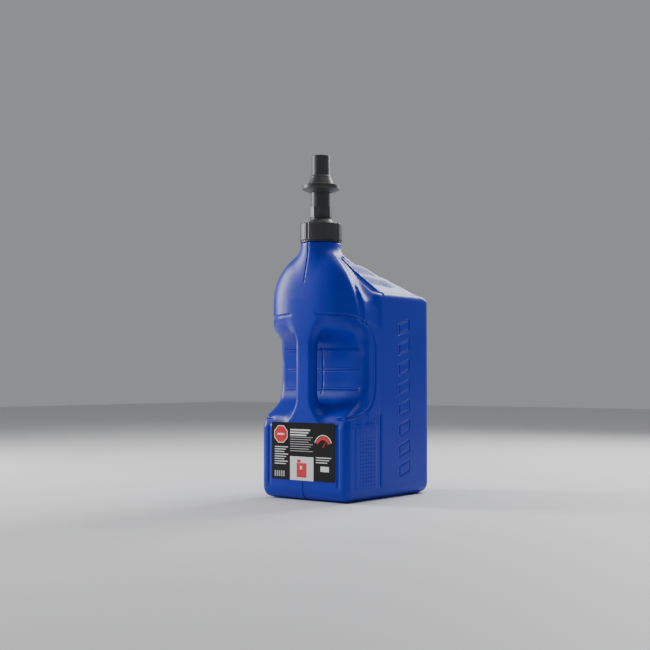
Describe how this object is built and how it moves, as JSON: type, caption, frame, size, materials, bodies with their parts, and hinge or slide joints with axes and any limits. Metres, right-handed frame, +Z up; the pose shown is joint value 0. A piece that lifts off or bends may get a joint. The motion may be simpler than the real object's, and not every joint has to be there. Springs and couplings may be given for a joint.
{
  "type": "fuel jug",
  "caption": "Square blow-moulded fuel jug with a front column handle, a black screw cap and a spring-loaded push-down filling nozzle.",
  "frame": {"origin": "under the middle of the base, on the surface that the jug stands on", "axes": "+Z up, +X across the jug to its right, +Y from the handle at the front to the back"},
  "size_m": [0.203, 0.271, 0.638],
  "materials": {
    "blue_polyethylene": "satin moulded",
    "black_plastic": "satin moulded",
    "printed_label": "gloss print",
    "black_rubber": "matte",
    "spring_steel": "drawn"
  },
  "bodies": {
    "root": {"jug_body": "blue_polyethylene", "info_label": "printed_label", "neck_ratchet_band": "black_plastic"},
    "spout": {"neck_gasket": "black_rubber", "spout_base": "black_plastic", "barrel_gasket": "black_rubber", "guide_barrel": "black_plastic", "barrel_wiper": "black_rubber", "barrel_collar": "black_plastic", "stem_carrier": "black_plastic", "vent_stem": "black_plastic", "stem_nut": "black_plastic", "vent_tube": "black_plastic", "valve_plug": "black_plastic", "plug_seal": "black_rubber", "plug_screw": "spring_steel", "spring_seat": "spring_steel", "return_spring": "spring_steel"},
    "cap": {"cap_ring": "black_plastic"},
    "nozzle": {"nozzle_tube": "black_plastic", "push_flange": "black_plastic", "flange_band": "black_plastic", "sleeve_seal": "black_rubber", "spring_cup": "spring_steel"}
  },
  "joints": [
    {"name": "cap_rise", "type": "slide", "parent": "root", "child": "spout", "axis": [0, 0, 1], "range_m": [0, 0.00905]},
    {"name": "cap_turn", "type": "hinge", "parent": "spout", "child": "cap", "pos_m": [0, -0.0825, 0.49], "axis": [0, 0, 1], "range_deg": [0, 540]},
    {"name": "nozzle_slide", "type": "slide", "parent": "spout", "child": "nozzle", "axis": [0, 0, -1], "range_m": [0, 0.022], "stiffness_N_per_m": 900, "springref_m": -0.01, "deforming": ["return_spring"]}
  ],
  "couplings": [
    {"joint": "cap_rise", "follows": "cap_turn", "m_per_rad": 0.00095493}
  ]
}
